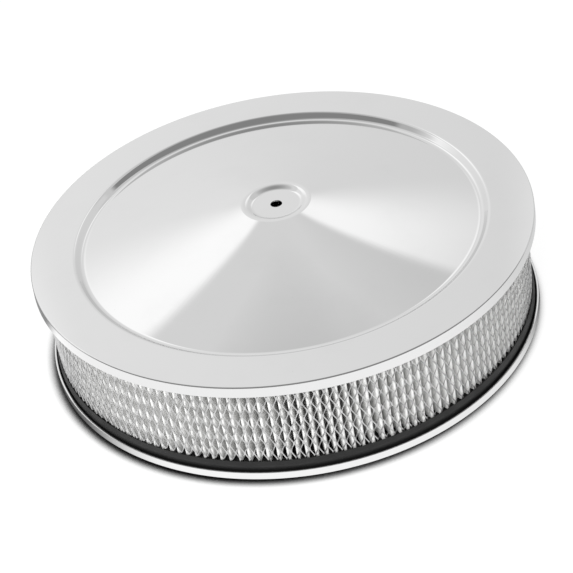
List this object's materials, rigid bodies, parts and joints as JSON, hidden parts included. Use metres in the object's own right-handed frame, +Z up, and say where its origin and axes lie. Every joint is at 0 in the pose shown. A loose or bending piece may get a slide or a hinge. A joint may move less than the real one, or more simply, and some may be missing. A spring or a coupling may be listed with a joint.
{
  "type": "carburetor air cleaner",
  "caption": "Round open-element carburetor air cleaner: chromed lid with a shallow cone and stud hole, pleated paper element behind expanded metal, chromed drop base.",
  "frame": {"origin": "middle of the base pan, on the plane that its tray stands on", "axes": "+Z up along the stud hole's axis, from the base pan to the lid; the part is round, so +X and +Y are free, with the paper's seam towards +Y"},
  "size_m": [0.3564, 0.3564, 0.0962],
  "materials": {
    "chrome_plate": "polished",
    "expanded_metal": "galvanised",
    "filter_paper": "matte",
    "clip_strip": "plain",
    "black_moulding": "satin",
    "gasket_rubber": "matte"
  },
  "bodies": {
    "root": {"top_lid": "chrome_plate", "base_pan": "chrome_plate", "neck_gasket": "gasket_rubber", "outer_screen": "expanded_metal", "inner_screen": "expanded_metal", "pleated_media": "filter_paper", "media_seam_clip": "clip_strip", "top_end_seal": "black_moulding", "bottom_end_seal": "black_moulding"}
  },
  "joints": []
}
